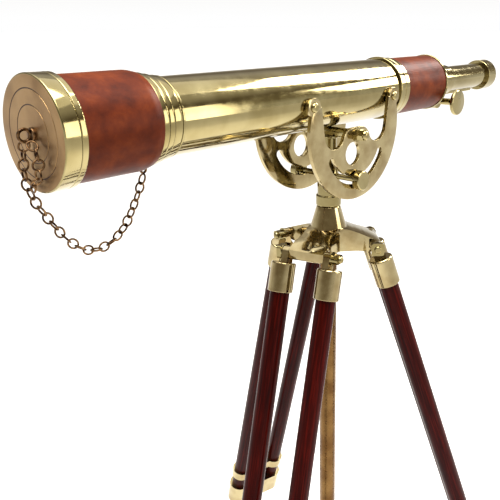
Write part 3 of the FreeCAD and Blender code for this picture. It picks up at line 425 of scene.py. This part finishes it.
def brass(name, pale, deep, patch, rough, grain, grain_depth):
    """Metal whose tone follows noise with patches of one size, and whose bump is noise of the grain's size."""
    made, tree, shader = material(name)
    coords = add(tree, "ShaderNodeTexCoord").outputs["Object"]
    patches = add(tree, "ShaderNodeTexNoise", {"Vector": coords, "Scale": 1 / patch, "Detail": 4.0})
    tone = add(tree, "ShaderNodeValToRGB", {"Fac": patches.outputs["Fac"]}, stops=[
        (0.35, linear(deep)),
        (0.62, linear(pale)),
    ])
    smears = add(tree, "ShaderNodeTexNoise", {"Vector": coords, "Scale": 4 / patch, "Detail": 5.0})
    polish = add(tree, "ShaderNodeMapRange", {
        "Value": smears.outputs["Fac"], "From Min": 0.3, "From Max": 0.7, "To Min": rough[0], "To Max": rough[1],
    })
    pits = add(tree, "ShaderNodeTexNoise", {"Vector": coords, "Scale": 1 / grain, "Detail": 3.0})
    bump = add(tree, "ShaderNodeBump", {"Height": pits.outputs["Fac"], "Distance": grain_depth, "Strength": 0.5})
    tree.links.new(tone.outputs["Color"], shader.inputs["Base Color"])
    tree.links.new(polish.outputs["Result"], shader.inputs["Roughness"])
    tree.links.new(bump.outputs["Normal"], shader.inputs["Normal"])
    shader.inputs["Metallic"].default_value = 1.0
    return made


buffed_brass = brass("buffed lacquered brass", "#968A62", "#84774F", 40 * MM, (0.06, 0.14), 6 * MM, 0.01 * MM)
satin_brass = brass("satin turned brass", "#9C7E56", "#7C5F3C", 30 * MM, (0.32, 0.42), 1.2 * MM, 0.01 * MM)
cast_brass = brass("buffed cast brass", "#A89A74", "#8E7D58", 24 * MM, (0.07, 0.15), 2 * MM, 0.03 * MM)
# Painted shade for the engraved lines in the cap's face: a dark colour put in the cuts.
engraved_line_shade, tree, shader = material("painted shade in an engraved line")
shader.inputs["Base Color"].default_value = linear("#3A2210")
shader.inputs["Roughness"].default_value = 0.5
# The column's brass is darker and browner than the buffed brass, with a rougher finish.
dull_brass = brass("darker brown column brass", "#6E5330", "#563C20", 25 * MM, (0.22, 0.34), 3 * MM, 0.02 * MM)
old_brass = brass("old brown brass", "#7E6040", "#22120C", 5 * MM, (0.25, 0.5), 0.8 * MM, 0.04 * MM)

# %% [markdown]
# ## Leather
# The wraps are vegetable-tanned leather, waxed and polished. The hide has pores about a millimetre apart, soft
# clouds of darker dye, and a thin shine of wax that shows as a pale streak along its top.

# %% Leather
PORE = 1.1 * MM
CLOUD = 22 * MM
tan_leather, tree, shader = material("waxed tan leather")
coords = add(tree, "ShaderNodeTexCoord").outputs["Object"]
clouds = add(tree, "ShaderNodeTexNoise", {"Vector": coords, "Scale": 1 / CLOUD, "Detail": 6.0, "Roughness": 0.6})
dye = add(tree, "ShaderNodeValToRGB", {"Fac": clouds.outputs["Fac"]}, stops=[
    (0.3, linear("#340F03")),
    (0.5, linear("#481905")),
    (0.72, linear("#5C2609")),
])
pores = add(tree, "ShaderNodeTexVoronoi", {"Vector": coords, "Scale": 1 / PORE, "Randomness": 1.0})
creases = add(tree, "ShaderNodeTexNoise", {"Vector": coords, "Scale": 1 / (4 * MM), "Detail": 5.0})
relief = add(tree, "ShaderNodeMath", {0: pores.outputs["Distance"], 1: creases.outputs["Fac"]}, operation="ADD")
grain = add(tree, "ShaderNodeBump", {"Height": relief.outputs["Value"], "Distance": 0.06 * MM, "Strength": 0.6})
tree.links.new(dye.outputs["Color"], shader.inputs["Base Color"])
tree.links.new(grain.outputs["Normal"], shader.inputs["Normal"])
shader.inputs["Roughness"].default_value = 0.4
shader.inputs["Specular IOR Level"].default_value = 0.06

# %% [markdown]
# ## Lacquered mahogany
# The legs are round rods of red-stained mahogany under a glossy varnish. The grain runs along each rod, and the
# rods lean three ways, so each rod carries its own attribute: the place across the rod and the way along it.

# %% Mahogany
GRAIN_WIDTH = 2.2 * MM
GRAIN_STRETCH = 0.035
mahogany, tree, shader = material("varnished red mahogany")
along_rod = add(tree, "ShaderNodeAttribute", attribute_name="grain").outputs["Vector"]
stretched = add(tree, "ShaderNodeMapping", {"Vector": along_rod, "Scale": (1, 1, GRAIN_STRETCH)})
fibres = add(tree, "ShaderNodeTexNoise", {
    "Vector": stretched.outputs["Vector"], "Scale": 1 / GRAIN_WIDTH, "Detail": 6.0, "Roughness": 0.65,
})
stain = add(tree, "ShaderNodeValToRGB", {"Fac": fibres.outputs["Fac"]}, stops=[
    (0.3, linear("#120000")),
    (0.52, linear("#2C0200")),
    (0.75, linear("#4C0A04")),
])
pore_lines = add(tree, "ShaderNodeBump", {"Height": fibres.outputs["Fac"], "Distance": 0.03 * MM, "Strength": 0.3})
tree.links.new(stain.outputs["Color"], shader.inputs["Base Color"])
tree.links.new(pore_lines.outputs["Normal"], shader.inputs["Normal"])
shader.inputs["Roughness"].default_value = 0.3
shader.inputs["Specular IOR Level"].default_value = 0.04
shader.inputs["Coat Weight"].default_value = 0.04
shader.inputs["Coat Roughness"].default_value = 0.06

# %% [markdown]
# ## Glass and the black inside
# The lenses are crown and flint glass. The baffles inside the tube are painted dead black, so that no stray
# light crosses the view.

# %% Glass and black paint
lens_glass, tree, shader = material("clear lens glass")
shader.inputs["Base Color"].default_value = linear("#F4FAF8")
shader.inputs["Transmission Weight"].default_value = 1.0
shader.inputs["Roughness"].default_value = 0.02
shader.inputs["IOR"].default_value = 1.52
baffle_paint, tree, shader = material("dead black paint")
soot = add(tree, "ShaderNodeTexNoise", {
    "Vector": add(tree, "ShaderNodeTexCoord").outputs["Object"], "Scale": 1 / (3 * MM), "Detail": 3.0,
})
shade = add(tree, "ShaderNodeValToRGB", {"Fac": soot.outputs["Fac"]}, stops=[
    (0.3, linear("#060606")),
    (0.7, linear("#141312")),
])
tree.links.new(shade.outputs["Color"], shader.inputs["Base Color"])
shader.inputs["Roughness"].default_value = 0.85

# %% [markdown]
# ## Leather wraps
# Each wrap is a strip of leather rolled round the tube and glued, with its two edges lapped under the tube and
# stitched. It is a closed sleeve: its profile goes along the outside, round the trimmed edge and back along the
# inside, and the outside swells where the lap lies.

# %% Leather wraps
HIDE = 1.3 * MM
EDGE_EASE = 0.9 * MM
SHOULDER_EASE = 20 * MM
LAP_WIDTH = 9 * MM
LAP_RISE = 0.5 * MM
LAP_EDGE = 0.35 * MM
LAP_FADE = 1.6 * MM
WAVE = 9 * MM
WAVE_RISE = 0.0625 * MM


def sleeve(name, profile, raise_by=None, columns=192):
    """A closed ring about the tube's axis: (x, radius) of a profile, carried round by an angle from straight up."""
    angle = np.linspace(0, 2 * math.pi, columns, endpoint=False)[None, :]
    x = profile[:, 0][:, None] + 0 * angle
    radius = profile[:, 1][:, None] + 0 * angle
    if raise_by is not None:
        radius = radius + raise_by(x, angle, radius)
    grid = np.stack([x, radius * np.sin(angle), AXIS + radius * np.cos(angle)], axis=-1)
    made = surface(name, grid, along=True)
    outward(made)
    return made


def leather_wrap(node, seat_drop=0, shoulder_length=0):
    """
    A sleeve as long as its node, with soft edges. Its radius has added to it a step up at the lap's edge, which
    fades out over the lap's width, and a slow wave made of the sine of x times the sine of three times the angle.
    """
    low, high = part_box(node)
    outer = (high.z - low.z) / 2
    inner = outer - HIDE
    outside = [(low.x, outer - seat_drop, EDGE_EASE), (low.x + shoulder_length, outer, SHOULDER_EASE)]
    inside = [(low.x + shoulder_length, inner), (low.x, inner - seat_drop)]
    if seat_drop == 0:
        outside, inside = [(low.x, outer, EDGE_EASE)], [(low.x, inner)]
    profile = rounded([*outside, (high.x, outer, EDGE_EASE), (high.x, inner), *inside], steps=7)
    rows = []
    for here, there in zip(profile, np.roll(profile, -1, axis=0)):
        pieces = max(1, int(np.linalg.norm(there - here) / (2 * MM)))
        rows.append(here + (there - here) * (np.arange(pieces) / pieces)[:, None])
    profile = np.concatenate(rows)

    def lap(x, angle, radius):
        on_outside = radius > inner + 0.3 * MM - seat_drop * (x < low.x + shoulder_length)
        arc = (angle - math.pi) * outer
        step = 1 / (1 + np.exp(-np.clip(arc / LAP_EDGE, -40, 40)))
        fade = 1 / (1 + np.exp(-np.clip((arc - LAP_WIDTH) / LAP_FADE, -40, 40)))
        wave = np.sin(x / WAVE) * np.sin(3 * angle) * WAVE_RISE
        return np.where(on_outside, LAP_RISE * (step - fade) - LAP_RISE / 2 + wave, 0)

    made = sleeve(node + "_hide", profile, lap, columns=360)
    made.data.materials.append(tan_leather)
    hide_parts(node)
    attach(made, "telescope")
    return low.x, high.x, outer


STITCH_PITCH = 3.6 * MM
STITCH_HALF = 1.25 * MM
THREAD = 0.45 * MM
STITCH_ROWS = 7
STITCH_COLUMNS = 8


def stitches(name, start, end, radius):
    """
    Waxed thread beside the lap: short capsules in a row along x. A capsule's point is its centre, plus its half
    length times the sine of u along x, plus its thickness times the cosine of u round v.
    """
    centres = np.arange(start + 3 * MM, end - 3 * MM, STITCH_PITCH)[:, None, None]
    u = np.linspace(-math.pi / 2, math.pi / 2, STITCH_ROWS)[None, :, None]
    v = np.linspace(0, 2 * math.pi, STITCH_COLUMNS, endpoint=False)[None, None, :]
    angle = math.pi + 2.2 * MM / radius
    x = centres + STITCH_HALF * np.sin(u) + 0 * v
    side = THREAD * np.cos(u) * np.cos(v) + 0 * centres
    rise = THREAD * np.cos(u) * np.sin(v) + radius + 0.2 * MM + 0 * centres
    grid = np.stack([x, side + rise * math.sin(angle), AXIS + rise * math.cos(angle)], axis=-1)
    row, column = np.meshgrid(np.arange(STITCH_ROWS - 1), np.arange(STITCH_COLUMNS), indexing="ij")
    beside = (column + 1) % STITCH_COLUMNS
    here, after = row * STITCH_COLUMNS, (row + 1) * STITCH_COLUMNS
    one = np.stack([here + column, here + beside, after + beside, after + column], axis=-1)
    stitch_points = STITCH_ROWS * STITCH_COLUMNS * np.arange(len(centres))
    quads = (one.reshape(-1, 4)[None] + stitch_points[:, None, None]).reshape(-1, 4)
    made = quad_mesh(name, grid, quads)
    outward(made)
    made.data.materials.append(waxed_thread)
    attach(made, "telescope")


waxed_thread, tree, shader = material("waxed linen thread")
coords = add(tree, "ShaderNodeTexCoord").outputs["Object"]
ply = add(tree, "ShaderNodeTexNoise", {"Vector": coords, "Scale": 1 / (0.8 * MM), "Detail": 2.0})
thread_tone = add(tree, "ShaderNodeValToRGB", {"Fac": ply.outputs["Fac"]}, stops=[
    (0.3, linear("#4A2410")),
    (0.7, linear("#8A5C34")),
])
tree.links.new(thread_tone.outputs["Color"], shader.inputs["Base Color"])
shader.inputs["Roughness"].default_value = 0.6
stitches("front_seam_thread", *leather_wrap("front_leather_wrap", 1.9 * MM, 8 * MM))
stitches("rear_seam_thread", *leather_wrap("rear_leather_wrap"))

# %% [markdown]
# ## The lens cap
# The cap is turned from brass. Its face was left satin off the lathe, with two fine circles cut in it, and its rim
# and skirt were buffed bright. The circles are coloured dark as painted shade in the cuts. Its profile is one
# closed line that starts and ends on the axis, and each face of the mesh takes its finish from its distance from
# the axis.

# %% Lens cap
low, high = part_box("lens_cap")
CAP_RADIUS = (high.z - low.z) / 2
CAP_FACE = high.x
LINE_RADII = (24.8 * MM, 38.5 * MM)
LINE_WIDTH = 0.75 * MM
LINE_DEPTH = 0.4 * MM
LINE_SHOULDER = 0.2 * MM
RIM_WIDTH = 1.6 * MM
SKIRT_WALL = 2.5 * MM
FACE_WALL = 1.5 * MM
face_line = [(CAP_FACE, 0)]
for radius in LINE_RADII:
    face_line += [
        (CAP_FACE, radius - LINE_WIDTH / 2 - LINE_SHOULDER),
        (CAP_FACE - LINE_DEPTH, radius - LINE_WIDTH / 2),
        (CAP_FACE - LINE_DEPTH, radius + LINE_WIDTH / 2),
        (CAP_FACE, radius + LINE_WIDTH / 2 + LINE_SHOULDER),
    ]
profile = rounded([
    *face_line,
    (CAP_FACE, CAP_RADIUS, 1.3 * MM),
    (low.x, CAP_RADIUS, 0.3 * MM),
    (low.x, CAP_RADIUS - SKIRT_WALL),
    (CAP_FACE - FACE_WALL, CAP_RADIUS - SKIRT_WALL),
    (CAP_FACE - FACE_WALL, 0),
], steps=8)
turned_cap = sleeve("lens_cap_turned", profile)
# The finishes are the satin face, the buffed rim and skirt, and the painted shade in the engraved lines.
for finish in (satin_brass, buffed_brass, engraved_line_shade):
    turned_cap.data.materials.append(finish)
middles = np.empty(len(turned_cap.data.polygons) * 3)
turned_cap.data.polygons.foreach_get("center", middles)
middles = middles.reshape(-1, 3)
off_axis = np.hypot(middles[:, 1], middles[:, 2] - AXIS)
in_line = np.zeros(len(off_axis), bool)
for radius in LINE_RADII:
    in_line |= abs(off_axis - radius) < LINE_WIDTH / 2 + 0.1 * MM
on_face = middles[:, 0] > CAP_FACE - LINE_DEPTH - 0.1 * MM
# Faces in the engraved lines take the painted shade.
choice = np.where(on_face & in_line, 2, np.where(on_face & (off_axis < CAP_RADIUS - RIM_WIDTH), 0, 1))
turned_cap.data.polygons.foreach_set("material_index", choice)
turned_cap.data.set_sharp_from_angle(angle=math.radians(30))
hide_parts("lens_cap")
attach(turned_cap, "lens_cap")
print("cap radius", round(CAP_RADIUS, 4), "line faces", int(in_line.sum()))

# %% [markdown]
# ## The beaded front collar
# Between the main tube and the wider objective barrel is a collar turned in steps, each a rounded bead with a
# fine groove beside it. The grooves are what makes it read as lathe work, so they are part of its profile. Each
# bead is given by its start along the collar, its height over the tube, its end and the ease of its corners.

# %% Front collar
COLLAR_OVERLAP = 13 * MM
COLLAR_BACK = TUBE_FRONT - COLLAR_OVERLAP
COLLAR_BEADS = (
    (0, 1.5, 2.4, 0.7),
    (3.6, 2.1, 12.4, 0.8),
    (13.6, 3.9, 20.0, 1.1),
    (21.2, 5.5, 28.0, 1.3),
)
GROOVE_WIDTH = 1.2 * MM
GROOVE_DEPTH = 0.9 * MM
DEEP_GROOVE = 1.5 * MM
SMALL_EASE = 0.7
collar_line = [(COLLAR_BACK, TUBE_RADIUS)]
for start, rise, end, ease in COLLAR_BEADS:
    radius = TUBE_RADIUS + rise * MM
    collar_line += [
        (COLLAR_BACK + start * MM, radius, ease * MM),
        (COLLAR_BACK + end * MM, radius, ease * MM),
    ]
    if end < COLLAR_BEADS[-1][2]:
        floor_radius = radius - (DEEP_GROOVE if ease > SMALL_EASE else GROOVE_DEPTH)
        groove_back = COLLAR_BACK + end * MM
        collar_line += [(groove_back, floor_radius), (groove_back + GROOVE_WIDTH, floor_radius)]
collar_line.append((COLLAR_BACK + COLLAR_BEADS[-1][2] * MM, TUBE_RADIUS))
beaded_collar = sleeve("front_collar_beads", rounded(collar_line, steps=6))
beaded_collar.data.set_sharp_from_angle(angle=math.radians(40))
beaded_collar.data.materials.append(buffed_brass)
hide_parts("step_collar")
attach(beaded_collar, "telescope")
print("collar", round(COLLAR_BACK, 4), "beads", len(COLLAR_BEADS))

# %% [markdown]
# ## Wooden rods
# The rods are turned dowels, so a plain tapering surface would do, but the grain has to run along each one. The
# surface is made in the rod's own directions, and the same numbers are kept as its grain attribute.

# %% Wooden rods
joint_of = {joint["name"]: joint for joint in frame["record"]["behaviour"]["joints"]}


ROD_EASE = 0.8 * MM


def wooden_rod(name, ends, radius, shift, body):
    """
    A rod between two ends. A point is the start, plus the place along times the rod's direction, plus the radius
    times the cosine and the sine of an angle along the two directions across it. The radius eases in at both ends.
    """
    start, end = (np.array(at, float) for at in ends)
    length = np.linalg.norm(end - start)
    down = (end - start) / length
    beside = np.cross(down, (0, 0, 1.0))
    beside /= np.linalg.norm(beside)
    third = np.cross(down, beside)
    profile = rounded([(0, 0), (0, radius, ROD_EASE), (length, radius, ROD_EASE), (length, 0)], steps=4)
    middle = len(profile) // 2
    between = np.linspace(profile[middle - 1], profile[middle], 14)[1:-1]
    profile = np.concatenate([profile[:middle], between, profile[middle:]])
    angle = np.linspace(0, 2 * math.pi, 56, endpoint=False)[None, :]
    along = profile[:, 0][:, None] + 0 * angle
    out = profile[:, 1][:, None] * np.cos(angle)
    over = profile[:, 1][:, None] * np.sin(angle)
    grid = start + along[..., None] * down + out[..., None] * beside + over[..., None] * third
    made = surface(name, grid)
    outward(made)
    places = np.empty(len(made.data.vertices) * 3)
    made.data.vertices.foreach_get("co", places)
    from_start = places.reshape(-1, 3) - start
    grain = np.stack([from_start @ beside + shift, from_start @ third - 2 * shift, from_start @ down], axis=1)
    attribute = made.data.attributes.new("grain", "FLOAT_VECTOR", "POINT")
    attribute.data.foreach_set("vector", grain.ravel())
    made.data.materials.append(mahogany)
    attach(made, body)
    return made


def node_points(node):
    """All the points of a node's mesh, as rows."""
    data = nodes[node].data
    flat = np.empty(len(data.vertices) * 3)
    data.vertices.foreach_get("co", flat)
    return flat.reshape(-1, 3)


for leg in (1, 2, 3):
    slide = joint_of[f"leg_slide_{leg}"]
    down = np.array(slide["axis"], float)
    down /= np.linalg.norm(down)
    down = -down if down[2] > 0 else down
    hinge = np.array(joint_of[f"leg_fold_{leg}"]["pos_m"], float)
    tangent = np.cross(down, (0, 0, 1.0))
    tangent /= np.linalg.norm(tangent)
    points = node_points(f"upper_rods_{leg}") - hinge
    along, beside = points @ down, points @ tangent
    rod_radius = (beside.max() - beside[beside > 0].min()) / 2
    for side, centre in (("a", beside.max() - rod_radius), ("b", beside.min() + rod_radius)):
        ends = [hinge + tangent * centre + down * reach for reach in (along.min(), along.max())]
        rod = wooden_rod(f"upper_rod_{leg}{side}", ends, rod_radius, leg * 0.11 + centre, f"leg_{leg}")
        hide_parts(f"upper_rods_{leg}")
    points = node_points(f"lower_rod_{leg}") - hinge
    along, beside = points @ down, points @ tangent
    ends = [hinge + down * reach for reach in (along.min(), along.max())]
    rod = wooden_rod(f"lower_rod_wood_{leg}", ends, beside.max(), leg * 0.17, f"lower_leg_{leg}")
    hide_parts(f"lower_rod_{leg}")
print("rod radius", round(rod_radius, 4))

# %% [markdown]
# ## Castings with worn edges
# The crown and the two horned plates are cast, filed and buffed, so their edges are rounded by about a
# millimetre, and that is where they shine. Each is a merged copy of its node with a narrow bevel along every
# sharp edge.

# %% Castings
WORN_EDGE = 0.8 * MM


def softened(name, node, body):
    """A copy of a node's mesh, merged and with its flat triangles joined, with all its sharp edges bevelled."""
    data = nodes[node].data.copy()
    made = bpy.data.objects.new(name, data)
    bpy.context.scene.collection.objects.link(made)
    shell = bmesh.new()
    shell.from_mesh(data)
    bmesh.ops.remove_doubles(shell, verts=shell.verts, dist=0.002 * MM)
    bmesh.ops.dissolve_limit(shell, angle_limit=math.radians(1), verts=shell.verts, edges=shell.edges)
    sharp = [edge for edge in shell.edges if edge.is_manifold and edge.calc_face_angle(0) > math.radians(35)]
    bmesh.ops.bevel(
        shell, geom=sharp, offset=WORN_EDGE, offset_type="OFFSET", segments=3, profile=0.5, affect="EDGES",
        clamp_overlap=True,
    )
    bmesh.ops.triangulate(shell, faces=shell.faces)
    bmesh.ops.recalc_face_normals(shell, faces=shell.faces)
    shell.to_mesh(data)
    shell.free()
    data.polygons.foreach_set("use_smooth", np.ones(len(data.polygons), bool))
    data.set_sharp_from_angle(angle=math.radians(28))
    data.materials.clear()
    data.materials.append(cast_brass)
    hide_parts(node)
    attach(made, body)
    print(name, "bevelled edges", len(sharp), "faces", len(data.polygons))


softened("crown_casting", "crown", "crown")
softened("near_plate_casting", "cradle_plate_near", "telescope")
softened("far_plate_casting", "cradle_plate_far", "telescope")

# %% [markdown]
# ## Give every part its finish
# The record says which slot each part belongs to, so one loop gives each its material.

# %% Parts to materials
finish_of = {
    "brass": buffed_brass,
    "cast_brass": cast_brass,
    "leather": tan_leather,
    "mahogany": mahogany,
    "glass": lens_glass,
    "black_paint": baffle_paint,
    "old_brass": old_brass,
}
slot_of = {part["node"]: part["material_slot"] for part in frame["record"]["subparts"]}
for name, slot in slot_of.items():
    nodes[name].data.materials.clear()
    nodes[name].data.materials.append(finish_of[slot])
for strand in (cap_chain, cap_chain_loop):
    strand.data.materials.append(old_brass)
for name in ("column", "column_stop"):
    nodes[name].data.materials[0] = dull_brass
print("materials", len(bpy.data.materials))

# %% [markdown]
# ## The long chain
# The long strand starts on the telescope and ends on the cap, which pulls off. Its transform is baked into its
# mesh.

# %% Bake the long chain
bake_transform(cap_chain)
